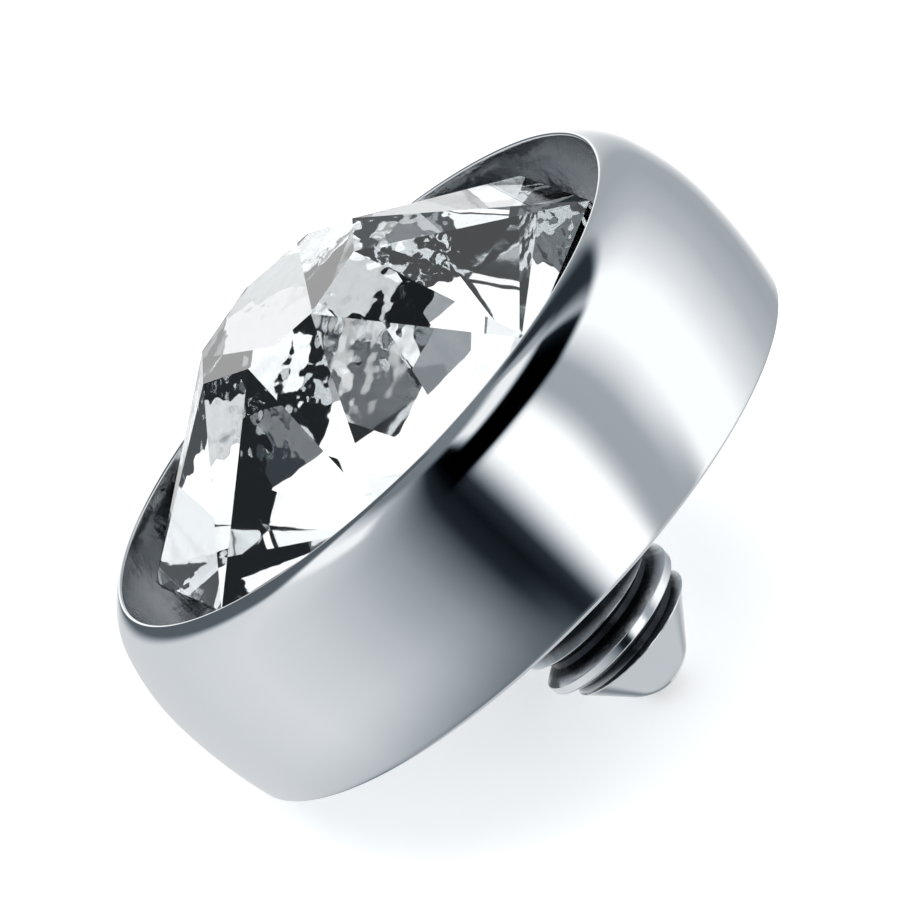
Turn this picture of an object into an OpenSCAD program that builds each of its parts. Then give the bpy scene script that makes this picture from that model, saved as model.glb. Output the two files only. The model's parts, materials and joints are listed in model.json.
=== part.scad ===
// Dermal anchor top: a turned steel cup with a threaded post, holding one faceted crystal.
// Every piece is drawn on its own axis (+Z through the table of the crystal, base of the cup at
// Z = 0) and then laid down as the object rests: on its base edge and on the tip of its post.

/* [Cup] */
// Widest diameter of the cup
cup_d = 5.0; // [4.8:0.05:5.4]
// Height of the widest section above the base
belly_z = 0.74; // [0.60:0.02:0.80]
// Diameter at the corner of the base
base_d = 4.84; // [4.6:0.02:4.9]
// Rounding of the base corner
base_round = 0.035; // [0.02:0.005:0.06]
// Radius of the arc above the widest section
upper_r = 1.6; // [1.4:0.05:2.4]
// Height where the rolled shoulder begins
shoulder_z = 1.27; // [1.20:0.01:1.30]
// Radius of the rolled shoulder
shoulder_r = 0.5; // [0.45:0.01:0.60]
// Diameter of the mouth
mouth_d = 4.36; // [4.30:0.01:4.44]
// Height of the ledge inside the cup
ledge_z = 0.95; // [0.80:0.01:1.05]
// Gap between the crystal and its conical seat
seat_gap = 0.03; // [0.02:0.005:0.05]

/* [Post] */
// Thread diameter, and the diameter of the plain neck
thread_d = 1.2; // [1.0:0.1:1.3]
// Thread pitch
pitch = 0.25; // [0.22:0.01:0.30]
// Depth of the thread
thread_depth = 0.125; // [0.10:0.005:0.14]
// Length of the plain neck
neck_l = 0.36; // [0.32:0.01:0.42]
// Length of the whole post, from the base of the cup to its tip
post_l = 1.52; // [1.45:0.01:1.70]
// Radius of the rounded tip
tip_r = 0.35; // [0.15:0.01:0.36]
// Half angle of the pointed end
point_angle = 39; // [35:0.5:45]
// Angle round the axis at which the middle crest stands
crest_turn = 45; // [0:5:355]
// Distance of that crest below the base
crest_z = 0.91; // [0.85:0.01:0.95]

/* [Crystal] */
// Sides of the table and of the girdle
sides = 8; // [8:2:12]
// Radius of the girdle at its corners
girdle_r = 1.99; // [1.90:0.01:2.05]
// Height of the girdle's upper edge above the base of the cup
girdle_z = 1.39; // [1.35:0.01:1.45]
// Thickness of the girdle
girdle_t = 0.06; // [0.04:0.01:0.08]
// Radius of the table at its corners
table_r = 0.746; // [0.70:0.002:1.10]
// Height of the table above the base of the cup
table_z = 2.30; // [2.20:0.01:2.40]
// Slope of the facets below the girdle
pavilion_angle = 41; // [38:0.5:41]
// Angle of the first corner of the table round the axis
crystal_turn = 7; // [0:1:44]

/* [Hidden] */
$fn = 96;
steel = "silver";
clear_stone = "lightcyan";

// Arcs of the cup's wall, each given by its centre [radius, height]
cup_r = cup_d / 2;
base_r = base_d / 2;
lower_r = (belly_z * belly_z + (cup_r - base_r) * (cup_r - base_r)) / (2 * (cup_r - base_r));
lower_c = [cup_r - lower_r, belly_z];
upper_c = [cup_r - upper_r, belly_z];
shoulder_a = asin((shoulder_z - belly_z) / upper_r);
shoulder_c = upper_c + (upper_r - shoulder_r) * [cos(shoulder_a), sin(shoulder_a)];
overlap = 0.0005;
inset_r = lower_r - base_round;
corner_c = [lower_c[0] + sqrt(pow(inset_r, 2) - pow(belly_z - base_round, 2)), base_round]
    + overlap * [1, -1];
over = 1;

// Thread and point
thread_r = thread_d / 2;
core_r = thread_r - thread_depth;
core_taper = 0.008;
core_end_r = core_r - core_taper;
buried_depth = 0.03;
buried_r = core_end_r - 0.025;
least_rise = 0.010;
least_edge = 0.006;
blunting = 0.2;
tip_c = tip_r - post_l;
apex_z = tip_c - tip_r / sin(point_angle);
point_top_z = apex_z + thread_r / tan(point_angle);
sink = 0.12;
tip_join = [tip_r * cos(point_angle), tip_c - tip_r * sin(point_angle)];
core_end_z = apex_z + core_end_r / tan(point_angle);
neck_end_z = -neck_l - thread_depth;
flank_angle = 30;
crest_half = 0.022;
crest_round = 0.022;
steps = 36;
run_out = 0.5;
thread_top_z = neck_end_z - pitch / 2;
thread_low_z = core_end_z - buried_depth;

// Crystal
half_side = 180 / sides;
flat_r = girdle_r * cos(half_side);
pavilion_h = flat_r * tan(pavilion_angle);
culet_z = girdle_z - girdle_t - pavilion_h;
seat_slope = atan(pavilion_h / girdle_r);
seat_z = culet_z - seat_gap / cos(seat_slope);
seat_r = (ledge_z - seat_z) / tan(seat_slope);

// Resting pose: the floor touches the round tip of the post and the rounded base corner
reach = corner_c - [0, tip_c];
tilt = atan2(reach[1], reach[0]) + asin((tip_r - base_round) / norm(reach));
lift = tip_r - tip_c * cos(tilt);
front_y = shoulder_c * [cos(tilt), sin(tilt)] + shoulder_r;
back_y = corner_c * [cos(tilt), -sin(tilt)] + base_round;

module laid_down() {
    translate([0, (front_y - back_y) / 2, lift]) rotate([tilt, 0, 0]) children();
}

// Part of a disc between two heights, on the right of the axis
module arc_band(centre, r, z0, z1) {
    intersection() {
        translate(centre) circle(r);
        translate([0, z0]) square([cup_r + over, z1 - z0]);
    }
}

// What the rounding takes off the base corner
module base_corner_waste() {
    outward = corner_c - lower_c;
    difference() {
        polygon([corner_c, [corner_c[0], -over], [corner_c[0] + over, -over], corner_c + outward]);
        translate(corner_c) circle(base_round);
    }
}

module cup_profile() {
    top_z = shoulder_c[1] + shoulder_r;
    difference() {
        union() {
            arc_band(lower_c, lower_r, 0, belly_z);
            arc_band(upper_c, upper_r, belly_z, shoulder_z);
            arc_band(shoulder_c, shoulder_r, shoulder_z, top_z);
            square([shoulder_c[0], top_z]);
        }
        polygon([
            [0, seat_z], [seat_r, ledge_z], [mouth_d / 2, ledge_z],
            [mouth_d / 2, top_z + over], [0, top_z + over]
        ]);
        base_corner_waste();
    }
}

// Neck, core of the thread and rounded point, less the crystal's seat
module post_profile() {
    difference() {
        union() {
            polygon([
                [0, belly_z / 2], [thread_r, belly_z / 2], [thread_r, -neck_l], [core_r, neck_end_z],
                [core_end_r, core_end_z], tip_join, [0, tip_join[1]]
            ]);
            intersection() {
                translate([0, tip_c]) circle(tip_r);
                translate([0, -post_l]) square([thread_r, post_l]);
            }
        }
        polygon([[0, seat_z], [seat_r, ledge_z], [0, ledge_z]]);
    }
}

// Radius that the ridge keeps to on the pointed end, sinking slowly below its surface
function point_r(z) = (z - apex_z) * tan(point_angle) - sink * (point_top_z - z);

// Crest radius at a height: full, fading into the core at the top and cut by the point below
function crest_r(z) = min(
    thread_r,
    point_r(z),
    buried_r + (thread_r - buried_r) * (thread_top_z - z) / (run_out * pitch)
);

// One section of the thread's ridge, as [radius, height above its middle]
function ridge(crest) = let (
    top = max(crest, buried_r + least_rise),
    half = crest_half + (thread_r - top) * blunting,
    edge = max(top - crest_round, buried_r + least_edge),
    foot = half + crest_round + (edge - buried_r) * tan(flank_angle)
) [
    [buried_r, -foot], [edge, -half - crest_round / 2], [top, -half],
    [top, half], [edge, half + crest_round / 2], [buried_r, foot]
];

module thread_ridge() {
    first = floor((thread_low_z + crest_z) / pitch * steps);
    last = floor((thread_top_z + crest_z) / pitch * steps);
    rings = [
        for (i = [first:last]) let (
            z = -crest_z + pitch * i / steps, a = crest_turn + 360 * i / steps
        ) [
            for (p = ridge(crest_r(z))) let (
                limit = point_r(z + p[1]) - (p[0] > buried_r ? 0 : buried_depth),
                r = min(p[0], limit)
            ) [r * cos(a), r * sin(a), z + p[1]]
        ]
    ];
    k = len(rings[0]);
    n = len(rings);
    polyhedron(
        points = [for (ring = rings) for (p = ring) p],
        faces = concat(
            [[for (j = [k - 1:-1:0]) j]],
            [[for (j = [0:k - 1]) (n - 1) * k + j]],
            [
                for (i = [0:n - 2]) for (j = [0:k - 1]) let (
                    a = i * k + j, b = i * k + (j + 1) % k
                ) each [[a, b, a + k], [b, b + k, a + k]]
            ]
        )
    );
}

module bezel_cup() {
    color(steel) laid_down() union() {
        rotate_extrude() union() {
            cup_profile();
            post_profile();
        }
        thread_ridge();
    }
}

// Corners of a level ring, half a side on where half is 1
function corners(r, z, half) = [
    for (i = [0:sides - 1]) let (a = crystal_turn + (2 * i + half) * half_side)
        [r * cos(a), r * sin(a), z]
];

module crystal() {
    table = 0;
    upper = sides;
    lower = 2 * sides;
    culet = 3 * sides;
    color(clear_stone) laid_down() polyhedron(
        points = concat(
            corners(table_r, table_z, 0),
            corners(girdle_r, girdle_z, 1),
            corners(girdle_r, girdle_z - girdle_t, 1),
            [[0, 0, culet_z]]
        ),
        faces = concat(
            [[for (i = [sides - 1:-1:0]) table + i]],
            [
                for (i = [0:sides - 1]) let (j = (i + 1) % sides) each [
                    [table + i, table + j, upper + i],
                    [upper + i, table + j, upper + j],
                    [upper + i, upper + j, lower + j, lower + i],
                    [lower + i, lower + j, culet]
                ]
            ]
        )
    );
}

bezel_cup();
crystal();
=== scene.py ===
"""Dermal anchor top: a polished steel cup with a threaded post, holding one faceted crystal."""

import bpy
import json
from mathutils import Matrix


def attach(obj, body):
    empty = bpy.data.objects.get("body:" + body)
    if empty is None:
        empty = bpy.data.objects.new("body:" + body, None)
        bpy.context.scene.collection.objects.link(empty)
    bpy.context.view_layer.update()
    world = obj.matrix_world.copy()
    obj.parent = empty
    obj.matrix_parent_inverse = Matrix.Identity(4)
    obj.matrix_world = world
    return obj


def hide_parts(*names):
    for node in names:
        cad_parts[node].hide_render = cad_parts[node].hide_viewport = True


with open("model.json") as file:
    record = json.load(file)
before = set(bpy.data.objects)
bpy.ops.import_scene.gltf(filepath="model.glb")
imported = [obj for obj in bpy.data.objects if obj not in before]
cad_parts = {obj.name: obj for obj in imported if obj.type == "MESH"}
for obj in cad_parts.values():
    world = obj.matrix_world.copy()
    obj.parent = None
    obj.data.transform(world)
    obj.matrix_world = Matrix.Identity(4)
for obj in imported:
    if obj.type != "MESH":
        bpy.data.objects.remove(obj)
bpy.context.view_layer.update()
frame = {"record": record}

import json
import math
from types import SimpleNamespace

import bmesh
import bpy
from mathutils import Matrix, Vector

bl_info = {
    "name": "Dermal Anchor Top",
    "version": (1, 0, 0),
    "blender": (4, 5, 0),
    "location": "View3D > Sidebar > Dermal Top",
    "description": "Builds a dermal anchor top: a steel cup on a threaded post, and its crystal",
    "category": "Object",
}

MM = 0.001
mounts = {m["name"]: m for m in frame["record"]["mounts"]}


# The part's own axes in the frame: +Z through the table of the crystal, base of the cup at 0
def part_matrix():
    up = -Vector(mounts["threaded_pin"]["axis"]).normalized()
    on_axis = Vector(mounts["threaded_pin"]["pos_m"])
    on_base = Vector(mounts["base_face"]["pos_m"])
    origin = on_axis + up * (on_base - on_axis).dot(up)
    across = Vector((1, 0, 0))
    rows = Matrix((across, up.cross(across), up))
    return Matrix.Translation(origin) @ rows.transposed().to_4x4()


PART = part_matrix()


# Small helpers

def linear(code):
    """An sRGB hex colour as linear red, green, blue and alpha."""
    parts = [int(code[i:i + 2], 16) / 255 for i in (1, 3, 5)]
    return tuple(c / 12.92 if c <= 0.04045 else ((c + 0.055) / 1.055) ** 2.4 for c in parts) + (1,)


def grey(value):
    return (value, value, value, 1)


def add_node(tree, kind, inputs=None, **settings):
    """Adds a node with its settings, and sets or links its inputs."""
    node = tree.nodes.new(kind)
    for name, value in settings.items():
        setattr(node, name, value)
    for key, value in (inputs or {}).items():
        if isinstance(value, bpy.types.NodeSocket):
            tree.links.new(value, node.inputs[key])
        else:
            node.inputs[key].default_value = value
    return node


def new_material(name):
    material = bpy.data.materials.new(name)
    material.use_nodes = True
    material.node_tree.nodes.clear()
    return material, material.node_tree


def arc(centre, radius, start, end, steps):
    """Points of an arc in the (radius, height) plane, angles in degrees from outward."""
    turns = [math.radians(start + (end - start) * i / steps) for i in range(steps + 1)]
    return [(centre[0] + radius * math.cos(t), centre[1] + radius * math.sin(t)) for t in turns]


def line(start, end, steps):
    """Points along a straight stretch, from after its start to its end."""
    points = [
        tuple(a + (b - a) * i / steps for a, b in zip(start, end)) for i in range(1, steps)
    ]
    return points + [end]


def mark_sharp(bm, angle, above):
    """Marks the sharp edges above a height: the thread below it is shaded smooth."""
    for edge in bm.edges:
        if min(vert.co.z for vert in edge.verts) < above:
            continue
        if len(edge.link_faces) == 2 and edge.calc_face_angle() > angle:
            edge.smooth = False


def finish_piece(bm, name, materials, node):
    """Turns a bmesh in millimetres on the part's own axes into a piece placed in the frame."""
    bmesh.ops.scale(bm, verts=bm.verts, vec=(MM, MM, MM))
    bmesh.ops.transform(bm, verts=bm.verts, matrix=PART)
    mesh = bpy.data.meshes.new(name)
    bm.to_mesh(mesh)
    bm.free()
    for material in materials:
        mesh.materials.append(material)
    piece = bpy.data.objects.new(name, mesh)
    bpy.context.scene.collection.objects.link(piece)
    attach(piece, "root")
    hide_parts(node)
    return piece


# Settings that a user would change

def length(name, description, millimetres):
    """A length that a user would change, its default given in millimetres."""
    return bpy.props.FloatProperty(
        name=name, description=description, default=millimetres * MM, unit="LENGTH", precision=5)


def in_mm(group):
    """The values of a group of settings, its lengths in millimetres."""
    values = {}
    for prop in group.bl_rna.properties:
        if prop.identifier in group.__annotations__:
            value = getattr(group, prop.identifier)
            values[prop.identifier] = value / MM if prop.unit == "LENGTH" else value
    return SimpleNamespace(**values)


class CupSettings(bpy.types.PropertyGroup):
    width: length("Width", "Widest diameter of the cup", 5.0)
    belly_height: length("Belly height", "Height of the widest section", 0.74)
    base_width: length("Base width", "Diameter at the corner of the base", 4.84)
    upper_radius: length("Upper arc", "Radius of the wall above the belly", 1.6)
    shoulder_height: length("Shoulder height", "Where the rolled shoulder begins", 1.27)
    shoulder_radius: length("Shoulder radius", "Radius of the rolled shoulder", 0.5)
    mouth_width: length("Mouth width", "Diameter of the mouth", 4.36)
    ledge_height: length("Ledge height", "Height of the ledge inside the cup", 0.95)
    edge_radius: length("Edge radius", "Rounding of the base corner", 0.035)
    seat_gap: length("Seat gap", "Gap between the crystal and its seat", 0.03)
    segments: bpy.props.IntProperty(
        name="Segments", description="Faces round the cup", default=256)


class PostSettings(bpy.types.PropertyGroup):
    width: length("Thread diameter", "Outer diameter of the thread", 1.2)
    pitch: length("Pitch", "Distance between crests", 0.25)
    depth: length("Thread depth", "Depth of the thread", 0.125)
    neck: length("Neck length", "Length of the plain neck", 0.36)
    length: length("Length", "Length of the whole post", 1.52)
    tip_radius: length("Tip radius", "Radius of the rounded tip", 0.35)
    point_angle: bpy.props.FloatProperty(
        name="Point angle", description="Half angle of the pointed end",
        default=math.radians(39), subtype="ANGLE")
    crest_turn: bpy.props.FloatProperty(
        name="Crest turn", description="Angle round the axis of the middle crest",
        default=math.radians(45), subtype="ANGLE")
    crest_depth: length("Crest depth", "Distance of that crest below the base", 0.91)


class CrystalSettings(bpy.types.PropertyGroup):
    sides: bpy.props.IntProperty(name="Sides", description="Sides of the table", default=8)
    girdle_radius: length("Girdle radius", "Radius of the girdle at its corners", 1.99)
    girdle_height: length("Girdle height", "Height of the girdle's upper edge", 1.39)
    girdle_thickness: length("Girdle thickness", "Thickness of the girdle", 0.06)
    table_radius: length("Table radius", "Radius of the table at its corners", 0.746)
    table_height: length("Table height", "Height of the table above the base", 2.30)
    pavilion_angle: bpy.props.FloatProperty(
        name="Pavilion angle", description="Slope of the facets below the girdle",
        default=math.radians(41), subtype="ANGLE")
    turn: bpy.props.FloatProperty(
        name="Turn", description="Angle of the first corner of the table round the axis",
        default=math.radians(7), subtype="ANGLE")
    index: bpy.props.FloatProperty(
        name="Index", description="Refractive index of the crystal", default=2.15)


class StudioSettings(bpy.types.PropertyGroup):
    camera_distance: length("Camera distance", "Distance of the camera", 140)
    picture_scale: bpy.props.FloatProperty(
        name="Picture scale", description="Pixels to a millimetre at the part", default=150.2)
    roll: bpy.props.FloatProperty(
        name="Roll", description="Angle of the part's axis in the picture, below level",
        default=math.radians(44), subtype="ANGLE")
    elevation: bpy.props.FloatProperty(
        name="Elevation", description="Height of the camera above the plane of the crystal",
        default=math.radians(17.5), subtype="ANGLE")
    swing: bpy.props.FloatProperty(
        name="Swing", description="Turn of the camera round the part's axis",
        default=math.radians(45), subtype="ANGLE")
    floor_colour: bpy.props.FloatVectorProperty(
        name="Floor colour", description="Colour of the floor", subtype="COLOR", size=4,
        default=linear("#f7f8f9"))


# Materials

# Marks left by turning in the bore, neck and roots, and creases in the foil: how many to a
# millimetre, drawn as coarse as they need to show, and how deep in mm
MARKS_PER_MM, MARK_DEPTH = 8, 0.012
CREASES_PER_MM, CREASE_DEPTH = 7, 0.006

# The creased patch of the foil on the part's own axes, how far from its middle the creases fade
# and end, in mm, and how strong they are inside and outside it
PATCH = (-0.74, -0.74, 0.65)
PATCH_FADE = (0.25, 0.7)
CREASED, SMOOTH = 0.6, 0.05


def polished_steel():
    """Surgical steel buffed to a mirror; in the roots, on the neck and in the bore painted shade
    darkens its colour, and it is rougher and uneven there.
    """
    material, tree = new_material("mirror-polished surgical steel")
    shade_and_dullness = add_node(tree, "ShaderNodeAttribute", attribute_name="shade_and_dullness").outputs["Fac"]
    # Painted shade: the colour darkens towards #33373c where the attribute is high, in the thread's
    # roots, on the neck and in the bore
    colour = add_node(tree, "ShaderNodeMix", {
        0: shade_and_dullness, 6: linear("#edf0f3"), 7: linear("#33373c"),
    }, data_type="RGBA")
    finish = add_node(tree, "ShaderNodeMapRange", {"Value": shade_and_dullness, "To Min": 0.05, "To Max": 0.35})
    place = add_node(tree, "ShaderNodeTexCoord").outputs["Object"]
    marks = add_node(tree, "ShaderNodeTexNoise", {
        "Vector": place, "Scale": MARKS_PER_MM / MM, "Detail": 2.0,
    })
    bump = add_node(tree, "ShaderNodeBump", {
        "Height": marks.outputs["Fac"], "Strength": shade_and_dullness, "Distance": MARK_DEPTH * MM,
    })
    shader = add_node(tree, "ShaderNodeBsdfPrincipled", {
        "Base Color": colour.outputs[2],
        "Metallic": 1.0,
        "Roughness": finish.outputs["Result"],
        "Normal": bump.outputs["Normal"],
    })
    add_node(tree, "ShaderNodeOutputMaterial", {"Surface": shader.outputs["BSDF"]})
    return material


def cut_crystal(index):
    """Cubic zirconia, cut and polished: sharp, strong refraction, no colour of its own."""
    material, tree = new_material("cut and polished cubic zirconia")
    shader = add_node(tree, "ShaderNodeBsdfPrincipled", {
        "Base Color": linear("#fcfcfc"),
        "Roughness": 0.0,
        "IOR": index,
        "Transmission Weight": 1.0,
    })
    add_node(tree, "ShaderNodeOutputMaterial", {"Surface": shader.outputs["BSDF"]})
    return material


def mirror_backing():
    """Silver foil on the back of the crystal: a smooth mirror with one small creased patch."""
    material, tree = new_material("silver foil backing")
    place = add_node(tree, "ShaderNodeTexCoord").outputs["Object"]
    patch = tuple(PART @ (Vector(PATCH) * MM))
    away = add_node(tree, "ShaderNodeVectorMath", {0: place, 1: patch}, operation="DISTANCE")
    creased = add_node(tree, "ShaderNodeMapRange", {
        "Value": away.outputs["Value"], "From Min": PATCH_FADE[0] * MM,
        "From Max": PATCH_FADE[1] * MM, "To Min": CREASED, "To Max": SMOOTH,
    }, interpolation_type="SMOOTHSTEP")
    creases = add_node(tree, "ShaderNodeTexNoise", {
        "Vector": place, "Scale": CREASES_PER_MM / MM, "Detail": 0.5,
    })
    bump = add_node(tree, "ShaderNodeBump", {
        "Height": creases.outputs["Fac"], "Strength": creased.outputs["Result"],
        "Distance": CREASE_DEPTH * MM,
    })
    shader = add_node(tree, "ShaderNodeBsdfPrincipled", {
        "Base Color": linear("#e8eaeb"),
        "Metallic": 1.0,
        "Roughness": 0.02,
        "Normal": bump.outputs["Normal"],
    })
    add_node(tree, "ShaderNodeOutputMaterial", {"Surface": shader.outputs["BSDF"]})
    return material


def matt_floor(colour):
    """White acrylic sheet, lit a little from below so that shadows stay faint."""
    material, tree = new_material("matt white acrylic sheet")
    shader = add_node(tree, "ShaderNodeBsdfPrincipled", {
        "Base Color": tuple(colour),
        "Roughness": 1.0,
        "Specular IOR Level": 0.0,
        "Emission Color": tuple(colour),
        "Emission Strength": 0.55,
    })
    add_node(tree, "ShaderNodeOutputMaterial", {"Surface": shader.outputs["BSDF"]})
    return material


# Cup and post

# Faces along each stretch of the outline
STEPS = {
    "tip": 16, "post": 220, "corner": 8, "lower wall": 24, "upper wall": 16, "shoulder": 16,
    "lip": 8, "bore": 6, "ledge": 4, "seat": 12,
}

# Rounding of the lip, and the rings that divide the flat underside, in mm
LIP_ROUND = 0.02
UNDERSIDE_RINGS = (1.2, 1.8, 2.2)

# Half the flat of a crest, the rounding beside it and how much of that is gone where the flank
# begins, in mm and as a share, and the slope of the flanks
CREST_HALF = 0.020
CREST_ROUND = 0.024
FLANK_START = 0.42
FLANK_ANGLE = math.radians(30)

# Hollow between the neck and the underside, in mm
FILLET = 0.012

# How much painted shade darkens the colour of the turned inside of the cup and of the neck, where the
# steel is also rougher, from 0 for the polished wall to 1 for the thread's roots, the share of the
# thread's depth at which a root is fully shaded and rough, and where above its end the neck starts to
# take the shade and roughness and over what height, in mm
BORE_SHADE_AND_DULLNESS = 0.35
NECK_SHADE_AND_DULLNESS = 0.45
ROOT_SHARE = 0.6
NECK_START, NECK_FADE = 0.05, 0.08

# Only places up to this far outside the crests and above the base get the post's painted shade and
# duller finish, in mm
POST_MARGIN, POST_TOP = 0.05, 0.01

# Vertices nearer than this are merged, places nearer than this are the same, both in mm, and edges
# bent more than this are sharp
MERGE = 1e-6
NEAR = 0.001
SHARP = math.radians(35)


def seat_slope(crystal):
    """How deep the crystal is below its girdle, and the slope of its lower edges."""
    flat = crystal.girdle_radius * math.cos(math.pi / crystal.sides)
    depth = flat * math.tan(crystal.pavilion_angle)
    return depth, math.atan(depth / crystal.girdle_radius)


def cup_outline(cup, crystal):
    """Base, wall, rolled shoulder, bore, ledge and seat, from the foot of the neck inwards."""
    half, base = cup.width / 2, cup.base_width / 2
    bulge = half - base
    lower = (cup.belly_height ** 2 + bulge ** 2) / (2 * bulge)
    lower_centre = (half - lower, cup.belly_height)
    inner = lower - cup.edge_radius
    rise = cup.belly_height - cup.edge_radius
    corner = (lower_centre[0] + math.sqrt(inner ** 2 - rise ** 2), cup.edge_radius)
    low = -math.degrees(math.asin(rise / inner))
    upper_centre = (half - cup.upper_radius, cup.belly_height)
    high = math.degrees(math.asin((cup.shoulder_height - cup.belly_height) / cup.upper_radius))
    turn = math.radians(high)
    step = cup.upper_radius - cup.shoulder_radius
    shoulder = (
        upper_centre[0] + step * math.cos(turn), upper_centre[1] + step * math.sin(turn))
    mouth = cup.mouth_width / 2
    within = cup.shoulder_radius - LIP_ROUND
    lip_x = mouth + LIP_ROUND
    lip_turn = math.degrees(math.acos((lip_x - shoulder[0]) / within))
    lip_z = shoulder[1] + within * math.sin(math.radians(lip_turn))
    depth, slope = seat_slope(crystal)
    culet = crystal.girdle_height - crystal.girdle_thickness - depth
    bottom = culet - cup.seat_gap / math.cos(slope)
    seat_r = (cup.ledge_height - bottom) / math.tan(slope)
    points = [(radius, 0) for radius in UNDERSIDE_RINGS]
    points += arc(corner, cup.edge_radius, -90, low, STEPS["corner"])
    points += arc(lower_centre, lower, low, 0, STEPS["lower wall"])[1:]
    points += arc(upper_centre, cup.upper_radius, 0, high, STEPS["upper wall"])[1:]
    points += arc(shoulder, cup.shoulder_radius, high, lip_turn, STEPS["shoulder"])[1:]
    points += arc((lip_x, lip_z), LIP_ROUND, lip_turn, 180, STEPS["lip"])[1:]
    points += line((mouth, lip_z), (mouth, cup.ledge_height), STEPS["bore"])
    points += line((mouth, cup.ledge_height), (seat_r, cup.ledge_height), STEPS["ledge"])
    points += line((seat_r, cup.ledge_height), (0, bottom), STEPS["seat"])
    return points


class Thread:
    """Radius of the post at any height and angle."""

    def __init__(self, post):
        self.post = post
        self.crest = post.width / 2
        self.core = self.crest - post.depth
        self.tip_centre = post.tip_radius - post.length
        self.apex = self.tip_centre - post.tip_radius / math.sin(post.point_angle)
        self.neck_end = -post.neck - post.depth
        self.core_end = self.apex + self.core / math.tan(post.point_angle)

    def point(self, z):
        """Radius of the pointed end's cone."""
        return (z - self.apex) * math.tan(self.post.point_angle)

    def ridge(self, turn, z):
        """Radius of the ridge where its flank, crest or rounding passes this place."""
        post = self.post
        wave = (z + post.crest_depth) / post.pitch - (turn - post.crest_turn) / math.tau
        off = abs(wave - round(wave)) * post.pitch
        if off < CREST_HALF:
            return self.crest
        flank = (off - CREST_HALF - CREST_ROUND * FLANK_START) / math.tan(FLANK_ANGLE)
        soft = CREST_ROUND / 2 * min(1, (off - CREST_HALF) / CREST_ROUND) ** 2
        return self.crest - max(flank, soft)

    def radius(self, turn, z):
        """Radius of the post: ridge on core, both cut by the point, the ridge fading at the neck."""
        fade = (self.neck_end - self.post.pitch / 2 - z) / (self.post.pitch / 2)
        room = self.core + self.post.depth * min(max(fade, 0), 1)
        return max(min(self.core, self.point(z)), min(self.ridge(turn, z), self.point(z), room))

    def shade(self, wide, z):
        """Painted shade and duller finish: 1 in the roots of the thread, less on the neck, 0 on the
        crests, the point and the cup.
        """
        if wide > self.crest + POST_MARGIN or z > POST_TOP:
            return 0.0
        outer = min(self.crest, self.point(z))
        below = (outer - wide) / (ROOT_SHARE * self.post.depth)
        neck = min((z - self.neck_end - NECK_START) / NECK_FADE, NECK_SHADE_AND_DULLNESS)
        return min(max(below, neck, 0), 1)


def post_outline(post, thread):
    """Rounded tip, core of the thread with rings close enough to carry it, neck."""
    join = -math.degrees(post.point_angle)
    tip = arc((0, thread.tip_centre), post.tip_radius, -90, join, STEPS["tip"])
    low, high = tip[-1][1], thread.neck_end
    heights = [low + (high - low) * i / STEPS["post"] for i in range(1, STEPS["post"] + 1)]
    points = tip + [(min(thread.core, thread.point(z)), z) for z in heights]
    points += [(thread.crest, -post.neck), (thread.crest, -FILLET)]
    return points + [(thread.crest + FILLET / 3, -FILLET / 3), (thread.crest + FILLET, 0)]


class DERMALTOP_OT_cup(bpy.types.Operator):
    """Build the steel cup with its threaded post, one turned piece"""

    bl_idname = "mesh.dermal_top_cup"
    bl_label = "Cup and Post"

    def execute(self, context):
        scene = context.scene
        cup, post, crystal = map(in_mm, (scene.dermal_cup, scene.dermal_post, scene.dermal_crystal))
        thread = Thread(post)
        outline = post_outline(post, thread) + cup_outline(cup, crystal)
        bm = bmesh.new()
        row = [bm.verts.new((r, 0, z)) for r, z in outline]
        edges = [bm.edges.new(pair) for pair in zip(row, row[1:])]
        bmesh.ops.spin(
            bm, geom=row + edges, cent=(0, 0, 0), axis=(0, 0, 1), dvec=(0, 0, 0),
            angle=math.tau, steps=cup.segments, use_merge=True, use_duplicate=False)
        bmesh.ops.remove_doubles(bm, verts=bm.verts, dist=MERGE)
        shade_and_dullness = bm.verts.layers.float.new("shade_and_dullness")
        bore = cup.mouth_width / 2 + NEAR
        for vert in bm.verts:
            wide, z = vert.co.xy.length, vert.co.z
            if thread.tip_centre < z < thread.neck_end - NEAR and wide > NEAR:
                turn = math.atan2(vert.co.y, vert.co.x)
                vert.co.xy *= thread.radius(turn, z) / wide
                wide = vert.co.xy.length
            inside = z > cup.ledge_height - NEAR and wide < bore
            # Painted shade, with a duller finish, in the bore, on the neck and in the thread's roots
            vert[shade_and_dullness] = BORE_SHADE_AND_DULLNESS if inside else thread.shade(wide, z)
        bmesh.ops.recalc_face_normals(bm, faces=bm.faces)
        for face in bm.faces:
            face.smooth = True
        mark_sharp(bm, SHARP, thread.neck_end - NEAR)
        finish_piece(bm, "steel_cup_and_post", [polished_steel()], "bezel_cup")
        return {"FINISHED"}


# Faces of the hull bent less than this are one facet, and facets that look down more than this,
# as the height of their outward direction, carry the foil
ONE_FACET = math.radians(0.5)
LOOKS_DOWN = -0.2


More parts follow.
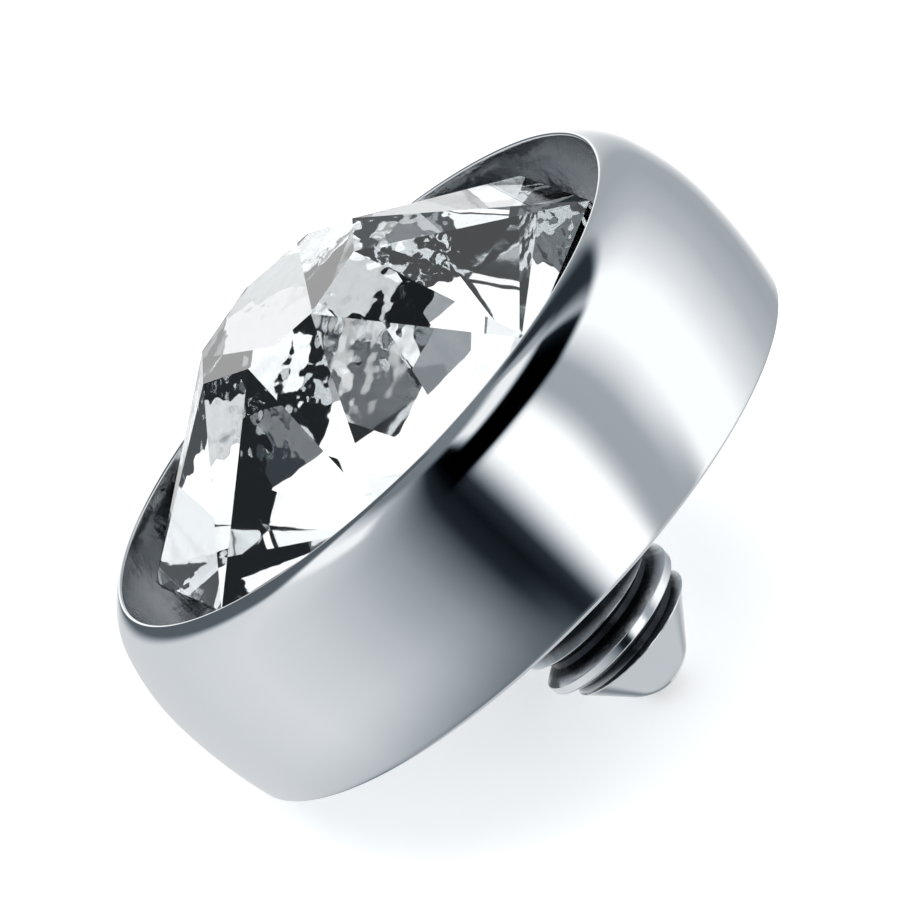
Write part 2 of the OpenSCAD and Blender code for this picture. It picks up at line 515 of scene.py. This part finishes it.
class DERMALTOP_OT_crystal(bpy.types.Operator):
    """Build the faceted crystal"""

    bl_idname = "mesh.dermal_top_crystal"
    bl_label = "Crystal"

    def execute(self, context):
        s = in_mm(context.scene.dermal_crystal)
        side = math.tau / s.sides
        depth = seat_slope(s)[0]
        low = s.girdle_height - s.girdle_thickness
        rings = [
            (s.table_radius, s.table_height, 0),
            (s.girdle_radius, s.girdle_height, 0.5),
            (s.girdle_radius, low, 0.5),
        ]
        bm = bmesh.new()
        for radius, height, step in rings:
            for i in range(s.sides):
                turn = s.turn + side * (i + step)
                bm.verts.new((radius * math.cos(turn), radius * math.sin(turn), height))
        bm.verts.new((0, 0, low - depth))
        bmesh.ops.convex_hull(bm, input=bm.verts)
        bmesh.ops.dissolve_limit(bm, angle_limit=ONE_FACET, verts=bm.verts, edges=bm.edges)
        bmesh.ops.recalc_face_normals(bm, faces=bm.faces)
        for face in bm.faces:
            face.material_index = int(face.normal.z < LOOKS_DOWN)
        finish_piece(
            bm, "faceted_crystal", [cut_crystal(s.index), mirror_backing()], "crystal")
        return {"FINISHED"}


# Stage

# The picture is this many pixels wide. The part's axis passes through a pixel of it at this height
# above the base, in mm
PICTURE = 900
MARK_HEIGHT = 1.418
MARK_PIXEL = (369, 389)

# Half the width of the floor, in metres
FLOOR_HALF = 1.5

# Brightness of the studio wall by bearing from the camera, in degrees: grey wall on the left, a
# black flag ahead, then two softboxes with a grey gap, and the bright backdrop behind. The levels
# were listed after greys measured on the cup's wall in the photograph
SURROUND = [
    (-180, 1.1), (-168, 0.71), (-130, 0.72), (-95, 0.79), (-70, 0.70), (-50, 0.56), (-30, 0.34),
    (-20, 0.17), (-12, 0.02), (-4, 0.008), (2, 0.03), (5, 0.30), (10, 0.90), (14, 1.25),
    (30, 1.20), (36, 0.62), (40, 0.42), (50, 0.43), (58, 0.80), (67, 1.15), (88, 1.15),
    (100, 0.87), (120, 0.55), (140, 0.43), (152, 0.43), (162, 0.68), (172, 1.05),
]

# The lower edge of the black flag overhead rises from this bearing on, by this much a degree
FLAG_BEND = 50
FLAG_SLANT = 0.25

# The lower edge of the dark ceiling on the left rises by this much a degree, from straight ahead
LEFT_SLANT = 0.79

# Brightness of the backdrop behind the part, which the table of the crystal mirrors
BACKDROP = 1.2

# Panels hung above it: brightness, bearings and heights as low, high and soft edge in degrees,
# and whether its edges are level or follow the slant of the flag or of the ceiling on the left
PANELS = [
    ("black flag", 0.0, (-6, 75, 10), (22, 120, 9), "flag"),
    ("black flag, far end", 0.03, (75, 132, 40), (22, 120, 9), "flag"),
    ("overhead softbox", 1.0, (14, 76, 14), (57, 120, 9), "level"),
    ("overhead softbox, dim end", 0.4, (76, 92, 16), (57, 120, 9), "level"),
    ("left light strip", 1.05, (-104, -50, 16), (54, 66, 8), "level"),
    ("dark ceiling", 0.22, (-300, 300, 10), (73, 120, 10), "level"),
    ("dark ceiling, left", 0.12, (-172, -104, 12), (132, 290, 9), "left"),
    ("grey gap, lower part", 0.42, (36, 62, 12), (-70, -31, 24), "level"),
    ("dim table, left", 0.12, (-200, -8, 16), (-76, -36, 30), "level"),
    ("pale sheet under the part", 0.62, (-300, 300, 10), (-120, -48, 14), "level"),
    ("bright backdrop", BACKDROP, (172, 200, 6), (8, 32, 8), "level"),
    ("bright backdrop, left half", BACKDROP, (-200, -172, 6), (8, 32, 8), "level"),
]

# The tent round the crystal, and the grey and black cards in it
TENT = 1.9
CARDS = [
    ("low part of the tent", 0.5, (-300, 300, 10), (-120, -4, 10), "level"),
    ("grey card", 0.35, (-80, -8, 6), (-120, 29, 5), "level"),
    ("grey card under the lens", 0.7, (-35, 20, 5), (-120, 47, 8), "level"),
    ("pale card beside the lens", 0.95, (8, 20, 6), (6, 22, 6), "level"),
    ("pale card behind", 1.1, (174, 200, 6), (8, 26, 6), "level"),
    ("pale card behind, left half", 1.1, (-200, -174, 6), (8, 26, 6), "level"),
    ("lens", 0.05, (-12, 18, 8), (26, 44, 8), "level"),
    ("small dark card behind", 0.04, (-169, -153, 6), (-4, 12, 6), "level"),
]

# Dim parts of the studio are a little blue: powers of the brightness that red and blue are
# multiplied by
RED_TINT, BLUE_TINT = 0.075, -0.06


def view_axes(studio):
    """The picture's right, up and towards-the-camera directions in the frame."""
    turn = PART.to_3x3()
    across, back, up = turn.col
    side = -across * math.sin(studio.swing) + back * math.cos(studio.swing)
    near = across * math.cos(studio.swing) + back * math.sin(studio.swing)
    cr, sr = math.cos(studio.roll), math.sin(studio.roll)
    ce, se = math.cos(studio.elevation), math.sin(studio.elevation)
    right = -cr * ce * up + sr * side + cr * se * near
    top = sr * ce * up + cr * side - sr * se * near
    towards = se * up + ce * near
    return right, top, towards, side, near, up


def add_camera(scene, studio):
    """The camera at the photograph's angle, distance and scale."""
    right, top, towards = view_axes(studio)[:3]
    mark = PART @ Vector((0, 0, MARK_HEIGHT * MM))
    mark_at = (MARK_PIXEL[0] - PICTURE / 2, PICTURE / 2 - MARK_PIXEL[1])
    scale = studio.picture_scale / MM
    aim = mark - right * (mark_at[0] / scale) - top * (mark_at[1] / scale)
    data = bpy.data.cameras.new("camera")
    data.sensor_width = 36
    distance = studio.camera_distance * MM
    data.lens = scale * distance * data.sensor_width / PICTURE
    data.clip_start = 0.01
    data.clip_end = 10
    camera = bpy.data.objects.new("camera", data)
    place = Matrix((right, top, towards)).transposed().to_4x4()
    camera.matrix_world = Matrix.Translation(aim + towards * distance) @ place
    scene.collection.objects.link(camera)
    scene.camera = camera


def add_world(scene, studio):
    """Softboxes and flags round the part, as bands by bearing and height above the crystal's plane."""
    side, near, up = view_axes(studio)[3:]
    world = bpy.data.worlds.new("studio")
    world.use_nodes = True
    tree = world.node_tree
    tree.nodes.clear()
    ray = add_node(tree, "ShaderNodeTexCoord").outputs["Generated"]

    def along(axis):
        return add_node(
            tree, "ShaderNodeVectorMath", {0: ray, 1: axis}, operation="DOT_PRODUCT").outputs["Value"]

    def maths(operation, *values):
        return add_node(
            tree, "ShaderNodeMath", dict(enumerate(values)), operation=operation).outputs[0]

    bearing = maths("ARCTAN2", along(side), along(near))
    height = maths("ARCSINE", along(up))
    share = maths("MULTIPLY_ADD", bearing, 1 / math.tau, 0.5)
    bands = add_node(tree, "ShaderNodeValToRGB", {"Fac": share})
    ramp = bands.color_ramp
    while len(ramp.elements) < len(SURROUND):
        ramp.elements.new(0.5)
    for element, (degrees, value) in zip(ramp.elements, SURROUND):
        element.position = degrees / 360 + 0.5
        element.color = grey(value)

    def within(value, low, high, soft):
        """1 between two angles, fading to 0 over a soft edge at each."""
        low, high, soft = (math.radians(angle) for angle in (low, high, soft))
        edges = [
            add_node(tree, "ShaderNodeMapRange", {
                "Value": value, "From Min": start, "From Max": end,
            }, interpolation_type="SMOOTHSTEP").outputs["Result"]
            for start, end in ((low - soft / 2, low + soft / 2), (high + soft / 2, high - soft / 2))
        ]
        return maths("MULTIPLY", *edges)

    beyond = maths("MAXIMUM", maths("SUBTRACT", bearing, math.radians(FLAG_BEND)), 0.0)
    rises = {
        "level": height,
        "flag": maths("MULTIPLY_ADD", beyond, -FLAG_SLANT, height),
        "left": maths("MULTIPLY_ADD", bearing, -LEFT_SLANT, height),
    }

    def hang(light, panels):
        """Each panel in front of what is behind it."""
        for name, value, bearings, heights, edges in panels:
            mask = maths("MULTIPLY", within(bearing, *bearings), within(rises[edges], *heights))
            panel = add_node(tree, "ShaderNodeMix", {0: mask, 2: light, 3: value}, label=name)
            light = panel.outputs[0]
        return light

    # The crystal is lit by a white tent of its own: its inside is seen by transmitted rays
    inside = add_node(tree, "ShaderNodeLightPath").outputs["Is Transmission Ray"]
    light = add_node(tree, "ShaderNodeMix", {
        0: inside, 2: hang(bands.outputs["Color"], PANELS), 3: hang(TENT, CARDS),
    }).outputs[0]
    dim = maths("MINIMUM", light, 1.0)
    tinted = add_node(tree, "ShaderNodeCombineColor", {
        "Red": maths("MULTIPLY", light, maths("POWER", dim, RED_TINT)),
        "Green": light,
        "Blue": maths("MULTIPLY", light, maths("POWER", dim, BLUE_TINT)),
    })
    shine = add_node(tree, "ShaderNodeBackground", {"Color": tinted.outputs[0], "Strength": 1.0})
    add_node(tree, "ShaderNodeOutputWorld", {"Surface": shine.outputs[0]})
    scene.world = world


def add_floor(scene, studio):
    """A wide level sheet at height 0, which nothing mirrors."""
    bm = bmesh.new()
    bmesh.ops.create_grid(bm, x_segments=1, y_segments=1, size=FLOOR_HALF)
    mesh = bpy.data.meshes.new("floor")
    bm.to_mesh(mesh)
    bm.free()
    mesh.materials.append(matt_floor(studio.floor_colour))
    floor = bpy.data.objects.new("floor", mesh)
    floor.visible_glossy = False
    floor.visible_transmission = False
    scene.collection.objects.link(floor)


def add_lamp(scene, name, place, size, power):
    """A round softbox that points at the part, and that nothing mirrors."""
    data = bpy.data.lights.new(name, "AREA")
    data.shape = "DISK"
    data.size = size
    data.energy = power
    lamp = bpy.data.objects.new(name, data)
    lamp.location = place
    lamp.rotation_mode = "QUATERNION"
    lamp.rotation_quaternion = Vector(place).to_track_quat("Z", "Y")
    lamp.visible_glossy = False
    lamp.visible_transmission = False
    scene.collection.objects.link(lamp)


class DERMALTOP_OT_studio(bpy.types.Operator):
    """Add the floor, the studio light and the camera"""

    bl_idname = "scene.dermal_top_studio"
    bl_label = "Studio"

    def execute(self, context):
        scene = context.scene
        studio = in_mm(scene.dermal_studio)
        scene.view_settings.view_transform = "Standard"
        # Light passes many times between the crystal's backing and its facets
        scene.cycles.glossy_bounces = 8
        scene.cycles.max_bounces = 14
        add_floor(scene, studio)
        add_world(scene, studio)
        add_lamp(scene, "overhead softbox", place=(0.05, -0.1, 0.6), size=0.8, power=3.8)
        add_camera(scene, studio)
        return {"FINISHED"}


class DERMALTOP_PT_pieces(bpy.types.Panel):
    """Lists the pieces of the dermal anchor top"""

    bl_label = "Dermal Anchor Top"
    bl_space_type = "VIEW_3D"
    bl_region_type = "UI"
    bl_category = "Dermal Top"

    def draw(self, context):
        for operator in OPERATORS:
            self.layout.operator(operator.bl_idname, text=operator.bl_label)


SETTINGS = {
    "dermal_cup": CupSettings,
    "dermal_post": PostSettings,
    "dermal_crystal": CrystalSettings,
    "dermal_studio": StudioSettings,
}
OPERATORS = (DERMALTOP_OT_cup, DERMALTOP_OT_crystal, DERMALTOP_OT_studio)


def register():
    for cls in (*SETTINGS.values(), *OPERATORS, DERMALTOP_PT_pieces):
        bpy.utils.register_class(cls)
    for name, group in SETTINGS.items():
        setattr(bpy.types.Scene, name, bpy.props.PointerProperty(type=group))


def unregister():
    for name in SETTINGS:
        delattr(bpy.types.Scene, name)
    for cls in (DERMALTOP_PT_pieces, *reversed(OPERATORS), *reversed(SETTINGS.values())):
        bpy.utils.unregister_class(cls)


def main():
    register()
    bpy.ops.mesh.dermal_top_cup()
    bpy.ops.mesh.dermal_top_crystal()
    bpy.ops.scene.dermal_top_studio()


if __name__ == "__main__":
    main()
